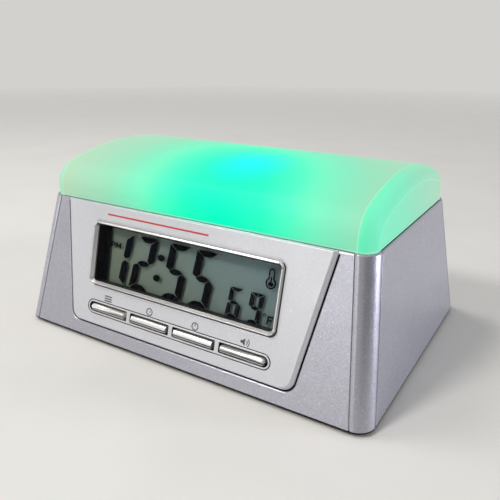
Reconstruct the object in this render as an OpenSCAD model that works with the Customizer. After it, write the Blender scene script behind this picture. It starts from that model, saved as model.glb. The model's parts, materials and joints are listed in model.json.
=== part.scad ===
// Talking alarm clock: a tapered desk clock with a glowing light dome on top, and a display window
// and four keys on its sloping front. The front faces -Y, +X is the viewer's right, and the feet
// stand on Z = 0. Millimetres.

/* [Housing] */
// Width of the housing at its lower edge
base_w = 125; // [124:1:150]
// Depth of the housing at its lower edge
base_d = 89.4; // [88:0.2:110]
// Height of the housing, from its lower edge to its top
body_h = 42.4; // [42:0.2:52]
// Inward lean of each side wall over the housing's height
side_setback = 5.8; // [4:0.1:8]
// Inward lean of the front wall over the housing's height
front_setback = 11; // [9:0.1:13]
// Inward lean of the back wall over the housing's height
back_setback = 10.2; // [8:0.1:12]
// Radius of the upright corner posts
corner_r = 5.1; // [4.6:0.1:6.5]
// Thickness of the housing's walls
wall = 2.4; // [2.2:0.1:2.8]
// Depth of the fine parting grooves beside each corner post
groove = 0.35; // [0.25:0.05:0.4]
// Width of those grooves
groove_w = 0.4; // [0.3:0.05:0.5]

/* [Base] */
// Height of the feet below the base cover
foot_proud = 0.4; // [0.3:0.1:0.8]
// Diameter of each foot
foot_d = 8; // [6:0.5:9]
// Thickness of each foot
foot_t = 1.2; // [1:0.1:1.6]
// Distance from each foot's centre to the base rim
foot_edge = 6.5; // [6:0.1:7]
// Height of the dark rim that shows under the housing
rim_h = 0.6; // [0.4:0.1:1]
// Inset of that rim from the housing's lower edge
rim_inset = 0.7; // [0.4:0.1:1.2]
// Thickness of the base cover
cover_t = 2.2; // [2:0.1:3]
// Distance of the base screws from the middle, front to back
base_screw_y = 25; // [23:0.5:27]
// Shank diameter of the base screws
base_screw_d = 2.8; // [2.4:0.1:3]
// Length of the base screws' shanks
base_screw_l = 10; // [8:0.5:14]
// Head diameter of the base screws
base_head_d = 5.4; // [4.8:0.1:5.6]
// Head height of the base screws
base_head_h = 1.1; // [0.8:0.1:1.2]

/* [Front panel] */
// Width of the panel where its sides would meet the housing's lower edge
panel_foot_w = 79.4; // [77:0.2:84]
// Width of the panel at its top edge
panel_top_w = 95; // [90:0.5:100]
// Height of the panel's lower edge up the front
panel_low = 4.9; // [4:0.1:6]
// Strip of housing below its top edge that the panel's lip covers
panel_strip = 0.9; // [0.7:0.1:1.5]
// Radius of the panel's lower corners
panel_r = 3.6; // [2:0.1:4]
// Depth of the recess that the panel is bonded into
panel_recess = 0.5; // [0.4:0.05:0.6]
// Height of the panel's face above the housing
panel_proud = 0.8; // [0.5:0.1:1]
// Width of the bevel along the panel's lower edge
panel_bevel = 0.5; // [0.3:0.05:0.6]
// Width of the bevel along the panel's sides
panel_slope = 1; // [0.6:0.1:1.2]
// Width of the dark gap round the panel
panel_gap = 0.45; // [0.25:0.05:0.45]
// Depth of that gap below the housing's face
gap_depth = 1.1; // [0.9:0.05:1.2]

/* [Display] */
// Width of the window bezel
bezel_w = 68; // [66:0.5:70]
// Height of the window bezel
bezel_h = 20.2; // [19:0.2:20.8]
// Distance from the housing's top edge down to the bezel's middle
bezel_drop = 15.7; // [15.2:0.1:16.2]
// Corner radius of the bezel
bezel_r = 2; // [1.5:0.1:3]
// Width of the bezel's sloping inner face
bezel_bevel = 1.2; // [0.9:0.1:1.4]
// Height of the bezel above the panel
bezel_proud = 0.7; // [0.4:0.1:1]
// Width of the shallow step in the panel round the bezel
seat_w = 0.75; // [0.5:0.05:1]
// Depth of that step
seat_sink = 0.15; // [0.1:0.05:0.25]
// Thickness of the clear window
window_t = 0.8; // [0.7:0.05:0.9]
// Thickness of the liquid crystal glass
lcd_t = 2.2; // [1.8:0.1:2.6]
// Width of the border of the glass that the holder grips
lcd_border = 1; // [0.8:0.1:1.4]
// Height of the conductive rubber strips between the glass and the board
strip_h = 1.6; // [1.2:0.1:2]

/* [Keys] */
// Width of the slot that the four keys sit in
slot_w = 66.2; // [64:0.2:69]
// Height of the slot
slot_h = 3.1; // [2.9:0.1:3.6]
// Height of the slot's middle up the front
slot_v = 10.8; // [10.4:0.1:11.2]
// Width of the rim round the keys
slot_rim = 0.5; // [0.4:0.1:0.8]
// Width of the fine line round that rim
rim_line = 0.3; // [0.2:0.05:0.4]
// Depth of that line
slot_sink = 0.3; // [0.2:0.05:0.5]
// Width of the webs between the keys
web_w = 1.4; // [1.2:0.1:1.8]
// Height of a key's crest above the panel
key_proud = 0.6; // [0.4:0.1:0.8]
// Distance of the keys below the slot's middle
key_drop = 0.2; // [0:0.05:0.25]
// Travel of each key
key_travel = 0.7; // [0.4:0.1:0.8]
// Thickness of the flange behind each key
key_flange_t = 0.8; // [0.6:0.1:1]
// Overhang of that flange round the key
key_flange = 0.6; // [0.5:0.05:0.6]
// Diameter of the switch plungers
plunger_d = 3; // [2.4:0.1:3.4]
// Width of the square switch bodies
switch_w = 4.5; // [4:0.1:5]
// Height of the switch bodies
switch_h = 2; // [1.8:0.1:2.2]

/* [Light dome] */
// Height of the dome's crown above the housing
dome_rise = 15.1; // [14:0.1:18]
// Inset of the dome from the housing's top edge
dome_inset = 0.8; // [0.7:0.1:1.2]
// Thickness of the dome's wall
dome_wall = 2; // [1.6:0.1:2.4]
// Radius of the dome's front and back shoulders
shoulder_r = 7.9; // [7:0.1:9]
// Radius of the dome's gently arched crown
crown_r = 88; // [80:1:110]
// Depth of the rebate that the dome stands in
rebate = 0.9; // [0.8:0.05:1]
// Thickness of the ledge under the rebate
ledge_t = 1.8; // [1.5:0.1:2]
// Width of the ledge that the reflector rests on
tray_seat = 2.5; // [2.2:0.1:3]
// Thickness of the reflector
tray_t = 1; // [0.8:0.1:1.1]
// Depth of the reflector's dish
tray_depth = 6.5; // [6:0.1:7]
// Inward slope of the dish over its depth
tray_slope = 9; // [8:0.2:11]
// Place of the lamp, from the middle, to the viewer's right
lamp_x = 6; // [-14:1:14]
// Place of the lamp, from the middle, to the back
lamp_y = -8; // [-9:1:8]
// Diameter of the lamp
lamp_d = 5; // [3:0.1:5]
// Length of the lamp's round body
lamp_l = 5.5; // [4:0.1:6]

/* [Speaker] */
// Outer diameter of the loudspeaker
speaker_d = 40; // [38:0.5:42]
// Height of the loudspeaker's basket
basket_h = 9.6; // [9:0.2:11]
// Diameter of its magnet
magnet_d = 22; // [20:0.5:24]
// Height of its magnet
magnet_h = 6; // [5:0.2:7]
// Place of the loudspeaker behind the middle
speaker_y = 0; // [-1:0.5:2]
// Width of each grille slot
grille_w = 2; // [1.6:0.1:2.2]
// Distance between grille slots
grille_pitch = 4.2; // [3.8:0.1:4.6]

/* [Batteries] */
// Diameter of a cell
cell_d = 14.2; // [13.9:0.1:14.4]
// Length of a cell, with its nub
cell_l = 50.5; // [50:0.1:50.7]
// Gap between the cells
cell_gap = 0.6; // [0.4:0.1:1]
// Length of the contact springs, with the cells in
spring_l = 4; // [3.8:0.1:4.4]
// Wire diameter of the contact springs
spring_wire = 0.8; // [0.6:0.05:0.8]
// Turns of each contact spring
spring_turns = 3.5; // [3:0.5:3.5]
// Thickness of the contact plates
plate_t = 0.4; // [0.3:0.05:0.5]
// Thickness of the battery bay's walls and roof
bay_wall = 1.6; // [1.4:0.1:1.8]
// Thickness of the battery door
door_t = 1.6; // [1.4:0.1:1.6]
// Overlap of the door round the bay
door_lap = 1.6; // [1.4:0.1:1.8]
// Travel of the door as it slides off
door_travel = 5; // [4.5:0.1:5]
// Length of each door tongue
tongue_l = 4.2; // [3.5:0.1:4.2]

/* [Boards and fixings] */
// Thickness of the main board
board_t = 1.6; // [1.2:0.1:2]
// Distance from each board screw to the edge of the main board
board_edge = 2.6; // [2.4:0.1:3.5]
// Height of the board's lower edge up the front
board_low = 5.6; // [5.4:0.1:6]
// Room between the board screws' bosses and the display and keys
screw_room = 1.6; // [1:0.1:2]
// Shank diameter of the small screws
small_screw_d = 1.5; // [1.3:0.1:1.7]
// Head diameter of the small screws
small_head_d = 3.6; // [3.2:0.1:4]
// Diameter of the insulated leads
lead_d = 1.3; // [1:0.1:1.5]

/* [Clearances] */
// Gap between parts that are fitted together
fit = 0.2; // [0.15:0.05:0.3]
// Gap above and below each key, before its drop
key_gap = 0.4; // [0.3:0.05:0.45]
// Gap at both ends of each key
end_gap = 0.8; // [0.6:0.05:1]
// Gap round the bezel
bezel_gap = 0.3; // [0.2:0.05:0.4]
// Radial gap of a plunger in its switch
run_fit = 0.05; // [0.02:0.01:0.1]

/* [Hidden] */

// Extra length by which a cut runs past the face that it opens
over = 1;
$fn = 64;

silver = "#b4b4bf";
pale_silver = "#d2d2d8";
black = "#1b1b1d";
steel = "#c6c8cc";

// Heights of the housing and the slope of its front
edge_z = foot_proud + rim_h;
top_z = edge_z + body_h;
cover_top = foot_proud + cover_t;
tilt = atan(front_setback / body_h);
face_len = norm([front_setback, body_h]);
wall_n = wall * cos(tilt);

// Depths behind the front face, measured square to it
window_n = panel_recess;
lip_t = 0.4;
lcd_n = wall_n + lip_t;
board_n = lcd_n + lcd_t + strip_h;
board_back_n = board_n + board_t;
board_high = face_len - ledge_t - rebate - board_edge / 2 - 1;
flange_n = wall_n + fit;
plunger_n = flange_n + key_flange_t;
key_names = ["mode", "hour", "minute", "talk"];
key_pitch = slot_w / len(key_names);
key_r = slot_h / 2 - key_gap;

// The watch crystal and the temperature sensor on the back of the board
crystal_u = 18;
crystal_d = 3;
crystal_l = 8;
sensor_u = -30;
sensor_up = 6;
sensor_d = 2.4;

// The drop of resin over the chip: its height, its ball radius and the angle where it meets the board
chip_h = 2.2;
chip_r = 14;
chip_a = asin(1 - chip_h / chip_r);

// The panel's upper corners and the fine bevel along its top edge
panel_top_r = 0.3;
panel_top_bevel = 0.25;
panel_head = 0.05;
panel_lip = panel_head - panel_strip;

// The display opening in the bezel, and the sizes that step out from it
bezel_v = face_len - bezel_drop;
view_w = bezel_w - 2 * bezel_bevel;
view_h = bezel_h - 2 * bezel_bevel;
collar_w = 0.5;
holder_w = 0.8;
strip_w = 1.8;

// The dome's plan and its arch
ledge_z = top_z - rebate;
dome_top = top_z + dome_rise;
dome_r = corner_r - dome_inset;
dome_hw = half_w(top_z) - dome_inset;
dome_hd = (back_y(top_z) - front_y(top_z)) / 2 - dome_inset;
dome_y = (back_y(top_z) + front_y(top_z)) / 2;
crown_z = dome_top - crown_r;
shoulder_y = dome_hd - shoulder_r;
shoulder_z = crown_z + sqrt(pow(crown_r - shoulder_r, 2) - pow(shoulder_y, 2));
shoulder_a = atan2(shoulder_z - crown_z, shoulder_y);

// The reflector and its lamp board
tray_in = dome_wall + fit;
dish_in = dome_wall + tray_seat + fit;
tray_floor = ledge_z - tray_depth + tray_t;
light_board_w = 46;
light_board_d = 13;
light_board_t = 1.2;
pin_d = 2;
pin_x = 19;
lead_hole_x = 8;

// The feet stand near the corners, and small bosses take the loudspeaker's and the board's screws
foot_x = base_w / 2 - rim_inset - foot_edge;
foot_y = base_d / 2 - rim_inset - foot_edge;
small_boss_r = 2.2;
board_screw_u = max(view_w / 2 + lcd_border + holder_w, slot_w / 2 + key_flange) + small_boss_r + screw_room;
board_w = 2 * (board_screw_u + board_edge);

// Bosses for the base screws stand against the side walls
boss_r = 2.9;
boss_top = cover_top + base_screw_l + 2;
base_screw_x = half_w(boss_top) - wall - boss_r + 1;

// The battery bay lies beside the left bosses, with room behind it for the door to slide back
side_room = 0.5;
cell_pitch = cell_d + cell_gap;
cell_z = foot_proud + door_t + fit + cell_d / 2;
bay_l = cell_l + spring_l + 2 * plate_t + fit;
bay_w = 3 * cell_pitch;
bay_top = cell_z + cell_d / 2 + 2 * fit;
roof_top = bay_top + bay_wall;
door_l = bay_w + 2 * door_lap;
door_w = bay_l + 2 * door_lap;
bay_x = boss_r - base_screw_x + side_room + max(bay_wall, door_lap) + bay_l / 2;
bay_y = 2;
pocket_z = foot_proud + door_t + fit / 2;
tongue_t = 0.7;
tongue_out = 1;
tongue_y = [0.5 - door_l / 2, door_l / 2 - 2 * tongue_l - door_travel];
tab_w = 4;
tab_h = 3;
plate_w = 11;
plate_h = 12;
spring_r = 5;
spring_end_r = 2.6;

// The loudspeaker stands by the right wall
speaker_x = half_w(cover_top) - wall - speaker_d / 2 - side_room - fit;
speaker_screws_at = [45, 135, 225, 315];
speaker_fix_r = speaker_d / 2 + fit + small_boss_r;
speaker_flange_t = 0.8;
basket_t = 0.8;
speaker_rim = 2.4;
rim_r = speaker_d / 2 - speaker_rim;
rim_top = 1.8;
coil_r = 5;
grille_edge = 4;
grille_r = speaker_d / 2 - grille_edge;
speaker_head_d = 6;
small_head_h = 1;

// Half width, front and back of the housing at height z
function half_w(z) = base_w / 2 - side_setback * (z - edge_z) / body_h;
function front_y(z) = -base_d / 2 + front_setback * (z - edge_z) / body_h;
function back_y(z) = base_d / 2 - back_setback * (z - edge_z) / body_h;

// A convex outline with each corner rounded by its own radius
function unit(v) = v / norm(v);
function corner(a, p, b, r, n) =
    let (da = unit(a - p), db = unit(b - p), half = acos(da * db) / 2)
    let (c = p + unit(da + db) * r / sin(half), s = p + da * r / tan(half) - c, a0 = atan2(s[1], s[0]))
    [for (i = [0 : n]) c + r * [cos(a0 + (180 - 2 * half) * i / n), sin(a0 + (180 - 2 * half) * i / n)]];
function rounded(pts, r, n = 8) =
    let (m = len(pts))
    [for (i = [0 : m - 1])
        each corner(pts[(i + m - 1) % m], pts[i], pts[(i + 1) % m], is_list(r) ? r[i] : r, n)];
function box_points(x0, y0, x1, y1) = [[x0, y0], [x1, y0], [x1, y1], [x0, y1]];
function rect(w, h, r, n = 8) = rounded(box_points(-w / 2, -h / 2, w / 2, h / 2), r, n);
function raise(pts, z) = [for (p = pts) [p[0], p[1], z]];

// The housing's plan at height z, drawn in by an inset
function outline(z, inset) =
    rounded(box_points(inset - half_w(z), front_y(z) + inset, half_w(z) - inset, back_y(z) - inset),
            corner_r - inset);

// The dome's plan, drawn in by an inset
function dome_plan(inset) =
    [for (p = rect(2 * (dome_hw - inset), 2 * (dome_hd - inset), dome_r - min(inset, dome_r - 0.5)))
        p + [0, dome_y]];

// The dome's arch across the clock, drawn in by an inset, standing on height z
function arc(c, r, a0, a1, n) =
    [for (i = [0 : n]) c + r * [cos(a0 + (a1 - a0) * i / n), sin(a0 + (a1 - a0) * i / n)]];
function arch(inset, z) = concat(
    [[dome_hd - inset, z]],
    arc([shoulder_y, shoulder_z], shoulder_r - inset, 0, shoulder_a, 8),
    arc([0, crown_z], crown_r - inset, shoulder_a + 2, 178 - shoulder_a, 14),
    arc([-shoulder_y, shoulder_z], shoulder_r - inset, 180 - shoulder_a, 180, 8),
    [[inset - dome_hd, z]]);
function dome_ring(x, inset, z) = [for (p = arch(inset, z)) [x, p[0] + dome_y, p[1]]];
function dome_rings(inset, z, n = 8) =
    let (r = dome_r - inset, x0 = dome_hw - dome_r)
    concat(
        [for (i = [0 : n]) dome_ring(-x0 - r * cos(90 * i / n), inset + r * (1 - sin(90 * i / n)), z)],
        [for (i = [n : -1 : 0]) dome_ring(x0 + r * cos(90 * i / n), inset + r * (1 - sin(90 * i / n)), z)]);

// A point in front coordinates: u to the right, v up the slope, n outwards
function on_face(u, v, n) =
    [u, -base_d / 2 + v * sin(tilt) - n * cos(tilt), edge_z + v * cos(tilt) + n * sin(tilt)];

// A smooth curve through points, with a few steps to each stretch
function spline_at(p, i, t) =
    let (last = len(p) - 1, a = p[max(i - 1, 0)], b = p[i], c = p[i + 1], d = p[min(i + 2, last)])
    0.5 * (2 * b + (c - a) * t + (2 * a - 5 * b + 4 * c - d) * t * t + (3 * b - a - 3 * c + d) * t * t * t);
function spline(p, steps) = concat(
    [for (i = [0 : len(p) - 2], s = [0 : steps - 1]) spline_at(p, i, s / steps)],
    [p[len(p) - 1]]);
function ring_at(path, i, r, sides, ref) =
    let (last = len(path) - 1)
    let (t = unit(path[min(i + 1, last)] - path[max(i - 1, 0)]), a = unit(cross(ref, t)), b = cross(t, a))
    [for (k = [0 : sides - 1]) path[i] + r * (a * cos(360 * k / sides) + b * sin(360 * k / sides))];

// A closed skin through rings of points, each ring anticlockwise as seen from the last one
module loft(rings) {
    n = len(rings[0]);
    m = len(rings);
    sides = [for (k = [0 : m - 2], i = [0 : n - 1])
        let (a = k * n + i, b = a + n, c = (k + 1) * n + (i + 1) % n, d = k * n + (i + 1) % n)
        each [[a, b, c], [a, c, d]]];
    floor_cap = [[for (i = [0 : n - 1]) i]];
    roof_cap = [[for (i = [n - 1 : -1 : 0]) (m - 1) * n + i]];
    polyhedron([for (r = rings) each r], concat(floor_cap, sides, roof_cap));
}

// A round wire along a path
module wire(path, d, sides, ref) {
    loft([for (i = [0 : len(path) - 1]) ring_at(path, i, d / 2, sides, ref)]);
}

// The housing's tapered form between two heights, drawn in by an inset
module tapered(inset, z0, z1) {
    loft([raise(outline(z0, inset), z0), raise(outline(z1, inset), z1)]);
}

// Places children in front coordinates
module on_front() {
    translate([0, -base_d / 2, edge_z]) rotate([90 - tilt, 0, 0]) children();
}

// A plate in front coordinates, from depth n0 to depth n1
module front_plate(pts, n0, n1) {
    translate([0, 0, n0]) linear_extrude(n1 - n0) polygon(pts);
}

function panel_half(v) = (panel_foot_w + (panel_top_w - panel_foot_w) * v / face_len) / 2;
function panel_points(low, side, high) =
    let (v0 = panel_low - low, v1 = face_len - panel_strip - high)
    rounded([[-panel_half(v0) - side, v0], [panel_half(v0) + side, v0],
             [panel_half(v1) + side, v1], [-panel_half(v1) - side, v1]],
            [panel_r, panel_r, panel_top_r, panel_top_r]);
function bezel_points(grow) =
    [for (p = rect(bezel_w + 2 * grow, bezel_h + 2 * grow, bezel_r + grow)) p + [0, bezel_v]];
function display_rect(grow, r) = [for (p = rect(view_w + 2 * grow, view_h + 2 * grow, r)) p + [0, bezel_v]];

// Outline of one key's cell in the slot, drawn in by an inset, with round outer ends
function key_edges(i, inset) = [
    -slot_w / 2 + i * key_pitch + (i == 0 ? 0 : web_w / 2) + inset,
    -slot_w / 2 + (i + 1) * key_pitch - (i == len(key_names) - 1 ? 0 : web_w / 2) - inset];
function key_points(i, inset, end, drop) =
    let (e = key_edges(i, end), h = slot_h / 2 - inset, v = slot_v - drop, square = 0.4)
    let (left = i == 0 ? h - 0.01 : square, right = i == len(key_names) - 1 ? h - 0.01 : square)
    rounded(box_points(e[0], v - h, e[1], v + h), [left, right, right, left]);
function slot_points(grow) =
    [for (p = rect(slot_w + 2 * grow, slot_h + 2 * grow, slot_h / 2 + grow - 0.01)) p + [0, slot_v]];
function key_u(i) = (key_edges(i, 0)[0] + key_edges(i, 0)[1]) / 2;

// Where the leads meet the board, up the front, and how far they run straight at each end
battery_lead_at = [-16, 30];
battery_leads_apart = 12;
speaker_lead_at = [board_w / 2 - 7, 15];
light_lead_at = [5, 34];
lead_rise = 6;
lead_back = 7;

// Where the board screws go
board_screws_at = [
    for (u = [-board_screw_u, board_screw_u], v = [board_low + board_edge, board_high - board_edge]) [u, v]];

module main_housing() color(silver) difference() {
    union() {
        difference() {
            tapered(0, edge_z, top_z);
            tapered(wall, edge_z - over, ledge_z - ledge_t);
        }
        intersection() {
            tapered(wall / 2, edge_z, top_z);
            for (x = [-base_screw_x, base_screw_x], y = [-base_screw_y, base_screw_y])
                translate([x, y, cover_top]) cylinder(r = boss_r, h = boss_top - cover_top);
        }
        on_front() for (p = board_screws_at)
            translate([p[0], p[1], -board_n]) cylinder(r = small_boss_r, h = board_n - wall_n + 0.5);
    }
    translate([0, 0, ledge_z]) linear_extrude(rebate + over) polygon(dome_plan(-fit));
    translate([0, 0, ledge_z - ledge_t - over])
        linear_extrude(ledge_t + 2 * over) polygon(dome_plan(dome_wall + tray_seat));
    on_front() {
        front_plate(panel_points(panel_gap, panel_gap, 0), -panel_recess, over);
        panel_groove();
        front_plate(display_rect(collar_w + fit, 1), -wall_n - over, 0);
        for (i = [0 : len(key_names) - 1]) front_plate(key_points(i, 0, 0, 0), -wall_n - over, 0);
        for (p = board_screws_at) translate([p[0], p[1], -board_n - over])
            cylinder(d = small_screw_d + 2 * run_fit, h = board_n - wall_n + over);
    }
    for (x = [-base_screw_x, base_screw_x], y = [-base_screw_y, base_screw_y])
        translate([x, y, cover_top - over]) cylinder(d = base_screw_d + 2 * run_fit, h = base_screw_l + 2);
    parting_grooves();
}

// The dark gap round the panel's sides and foot, which stops short of the dome's rebate
module panel_groove() {
    under = 0.3;
    stop = 1;
    difference() {
        front_plate(panel_points(panel_gap, panel_gap, stop), -gap_depth, over);
        front_plate(panel_points(-under, -under, -over), -gap_depth - over, 2 * over);
    }
}

// Fine grooves along both sides of each corner post, cut by a bar that stands partly outside
module parting_grooves() {
    out = 0.2;
    h = groove_w / 2;
    for (sx = [-1, 1], sy = [-1, 1], side = [false, true])
        loft([for (z = [edge_z - over, top_z + over])
            let (x = sx * half_w(z), y = sy < 0 ? front_y(z) : back_y(z))
            let (a = side ? [x - sx * groove, y - sy * corner_r - h] : [x - sx * corner_r - h, y - sy * groove])
            let (b = side ? [x + sx * out, y - sy * corner_r + h] : [x - sx * corner_r + h, y + sy * out])
            raise(box_points(min(a[0], b[0]), min(a[1], b[1]), max(a[0], b[0]), max(a[1], b[1])), z)]);
}

module base_cover() color(black) difference() {
    union() {
        translate([0, 0, foot_proud]) linear_extrude(rim_h) polygon(outline(edge_z, rim_inset));
        translate([0, 0, edge_z]) linear_extrude(cover_top - edge_z) polygon(outline(cover_top, wall + fit));
        translate([bay_x, bay_y, cover_top]) linear_extrude(roof_top - cover_top)
            polygon(rect(bay_l + 2 * bay_wall, bay_w + 2 * bay_wall, 1));
        for (a = speaker_screws_at) speaker_fixing(a)
            cylinder(r = small_boss_r, h = speaker_flange_t + cover_t / 2);
    }
    battery_bay();
    door_pocket();
    for (i = [-3 : 3])
        let (y = i * grille_pitch, reach = sqrt(pow(grille_r, 2) - y * y))
        translate([speaker_x, speaker_y + y, foot_proud - over]) linear_extrude(cover_t + 2 * over)
            polygon(rect(2 * reach, grille_w, grille_w / 2 - 0.01));
    for (x = [-foot_x, foot_x], y = [-foot_y, foot_y]) translate([x, y, 0])
        cylinder(d = foot_d + fit, h = foot_t);
    for (x = [-base_screw_x, base_screw_x], y = [-base_screw_y, base_screw_y]) translate([x, y, 0]) {
        cylinder(d = base_screw_d + 2 * fit, h = cover_top + over);
        cylinder(d = base_head_d + 2 * fit, h = foot_proud + base_head_h);
    }
    for (a = speaker_screws_at) speaker_fixing(a) translate([0, 0, -0.5])
        cylinder(d = small_screw_d + 2 * run_fit, h = cover_t + speaker_flange_t);
}

// The place of one of the screws round the loudspeaker, low in its boss
module speaker_fixing(angle) {
    translate([speaker_x, speaker_y, cover_top - cover_t / 2])
        rotate([0, 0, angle]) translate([speaker_fix_r, 0, 0]) children();
}

// The hollow that holds the cells, with slits in its roof for the solder tabs
module battery_bay() {
    translate([bay_x, bay_y, foot_proud]) {
        linear_extrude(bay_top - foot_proud) polygon(rect(bay_l, bay_w, 0.3));
        for (sx = [-1, 1])
            translate([sx * (bay_l / 2 - plate_t / 2), -sx * cell_pitch, bay_top - foot_proud - over])
                translate([-plate_t / 2 - fit, -tab_w / 2 - fit, 0])
                    cube([plate_t + 2 * fit, tab_w + 2 * fit, bay_wall + 2 * over]);
    }
}

// The pocket that the door slides in, with a groove for each tongue and a notch to lift it out
module door_pocket() {
    depth = pocket_z - foot_proud;
    run = door_l + door_travel;
    translate([bay_x, bay_y + door_travel / 2, foot_proud - over]) linear_extrude(depth + over)
        polygon(rect(door_w + 2 * fit, run + 2 * fit, 1.2));
    for (sx = [-1, 1], y = tongue_y) translate([bay_x, bay_y + y, 0]) mirror([sx < 0 ? 1 : 0, 0, 0]) {
        translate([door_w / 2 - over, -fit, pocket_z - tongue_t - fit])
            cube([over + tongue_out + fit, tongue_l + door_travel + 2 * fit, tongue_t + fit]);
        translate([door_w / 2 - over, door_travel - fit, foot_proud - over])
            cube([over + tongue_out + fit, tongue_l + 2 * fit, depth + over]);
    }
}

module front_panel() color(pale_silver) on_front() difference() {
    union() {
        front_plate(panel_points(0, 0, 0), -panel_recess, 0);
        loft([raise(panel_points(0, 0, panel_lip), 0),
              raise(panel_points(-panel_bevel, -panel_slope, panel_lip + panel_top_bevel), panel_proud)]);
    }
    front_plate(bezel_points(bezel_gap), window_t - panel_recess, panel_proud + over);
    front_plate(bezel_points(seat_w), panel_proud - seat_sink, panel_proud + over);
    front_plate(display_rect(0.6 + fit, 1), -panel_recess - over, panel_proud + over);
    difference() {
        front_plate(slot_points(slot_rim + rim_line), panel_proud - slot_sink, panel_proud + over);
        front_plate(slot_points(slot_rim), panel_proud - slot_sink - over, panel_proud + 2 * over);
    }
    for (i = [0 : len(key_names) - 1])
        front_plate(key_points(i, 0, 0, 0), -panel_recess - over, panel_proud + over);
}

module window_bezel() color(pale_silver) on_front() difference() {
    n0 = window_t - panel_recess;
    n1 = panel_proud + bezel_proud;
    loft([for (s = [[0, n0], [0, n1 - 0.4], [0.4, n1]])
        [for (p = rect(bezel_w - 2 * s[0], bezel_h - 2 * s[0], bezel_r - s[0])) [p[0], p[1] + bezel_v, s[1]]]]);
    loft([for (s = [[-0.1, n0 - 0.1], [0, n0], [bezel_bevel - 0.5, n1], [bezel_bevel, n1 + over]])
        raise(display_rect(s[0], bezel_r - 0.8), s[1])]);
}

module display_window() color("#dfe8e8", 0.35) on_front()
    front_plate(display_rect(0.6, 0.8), -window_n, window_t - window_n);

module lcd_frame() color(black) on_front() difference() {
    union() {
        front_plate(display_rect(collar_w, 0.8), -wall_n, -window_n);
        front_plate(display_rect(lcd_border + holder_w, 1), -board_n, -wall_n);
    }
    front_plate(display_rect(0, 0.4), -board_n, over);
    front_plate(display_rect(lcd_border + fit / 2, 0.4), -board_n - over, -lcd_n);
}

module lcd_glass() color("#75826f") on_front()
    front_plate(display_rect(lcd_border, 0.3), -lcd_n - lcd_t, -lcd_n);

module contact_strips() color("#d9a0a8") on_front() for (s = [-1, 1])
    translate([-view_w / 2, bezel_v + s * view_h / 2 - strip_w / 2, -board_n]) cube([view_w, strip_w, strip_h]);

module main_board() color("#2f6b43") on_front() difference() {
    front_plate(rounded(box_points(-board_w / 2, board_low, board_w / 2, board_high), 1.5),
                -board_back_n, -board_n);
    for (p = board_screws_at) translate([p[0], p[1], -board_back_n - over])
        cylinder(d = small_screw_d + 2 * fit, h = board_t + 2 * over);
}

module tact_switches() color("#3a3a3e") on_front() for (i = [0 : len(key_names) - 1])
    translate([key_u(i), slot_v, -board_n]) difference() {
        linear_extrude(switch_h) polygon(rect(switch_w, switch_w, 0.5));
        translate([0, 0, -over]) cylinder(d = plunger_d + 2 * run_fit, h = switch_h + 2 * over);
    }

// One key: a half-round bar through the panel, with a flange behind the wall
module key_bar(i) {
    e = key_edges(i, end_gap);
    f = key_edges(i, key_gap);
    v = slot_v - key_drop;
    crest = panel_proud + key_proud;
    spring = crest - key_r;
    u0 = e[0] + (i == 0 ? key_r : 0);
    u1 = e[1] - (i == len(key_names) - 1 ? key_r : 0);
    color(pale_silver) on_front() {
        intersection() {
            front_plate(key_points(i, key_gap, end_gap, key_drop), -flange_n, crest + over);
            union() {
                translate([e[0], v - key_r, -flange_n]) cube([e[1] - e[0], 2 * key_r, flange_n + spring]);
                translate([u0, v, spring]) rotate([0, 90, 0]) cylinder(r = key_r, h = u1 - u0);
                for (u = [u0, u1]) translate([u, v, spring]) sphere(r = key_r);
            }
        }
        front_plate(rounded(box_points(f[0] - key_flange, slot_v - key_r - key_flange,
                                       f[1] + key_flange, slot_v + key_r + key_flange), 0.5),
                    -plunger_n, -flange_n);
    }
}

// The plunger of one switch, which the key rests on
module key_plunger(i) color("#e8e4da") on_front()
    translate([key_u(i), slot_v, -board_n + key_travel + 2 * fit])
        cylinder(d = plunger_d, h = board_n - plunger_n - key_travel - 2 * fit);

module mode_button() key_bar(0);
module hour_button() key_bar(1);
module minute_button() key_bar(2);
module talk_button() key_bar(3);
module mode_plunger() key_plunger(0);
module hour_plunger() key_plunger(1);
module minute_plunger() key_plunger(2);
module talk_plunger() key_plunger(3);

// The sealed chip under its drop of black resin
module voice_chip() color(black) on_front() translate([0, bezel_v - 2, -board_back_n]) rotate([180, 0, 0])
    rotate_extrude() polygon(concat([[0, 0]], arc([0, chip_h - chip_r], chip_r, chip_a, 90, 8)));

module quartz_crystal() color(steel) on_front()
    translate([crystal_u, bezel_v, -board_back_n - crystal_d / 2])
        rotate([0, 90, 0]) cylinder(d = crystal_d, h = crystal_l);

module thermistor() color("#8a5a2b") on_front()
    translate([sensor_u, board_low + sensor_up, -board_back_n - sensor_d / 2]) sphere(d = sensor_d);

module light_dome() color("#a6e8bd", 0.85) difference() {
    loft(dome_rings(0, ledge_z));
    loft(dome_rings(dome_wall, ledge_z - over));
}

module light_reflector() color("#f2f2ee") {
    difference() {
        union() {
            translate([0, 0, ledge_z]) linear_extrude(tray_t) polygon(dome_plan(tray_in));
            dish(dish_in, ledge_z, tray_floor - tray_t);
        }
        dish(dish_in + tray_t, ledge_z + tray_t, tray_floor);
        translate([lamp_x + lead_hole_x, lamp_y, tray_floor - tray_t - over])
            cylinder(d = 2 * lead_d + 2.6, h = tray_t + 2 * over);
    }
    for (s = [-1, 1]) translate([lamp_x + s * pin_x, lamp_y, tray_floor - tray_t / 2])
        cylinder(d = pin_d, h = light_board_t + tray_t);
}

// The dish's form from its wide top down to its floor
module dish(inset, z_top, z_floor) {
    loft([raise(dome_plan(inset + tray_slope), z_floor), raise(dome_plan(inset), z_top)]);
}

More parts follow.
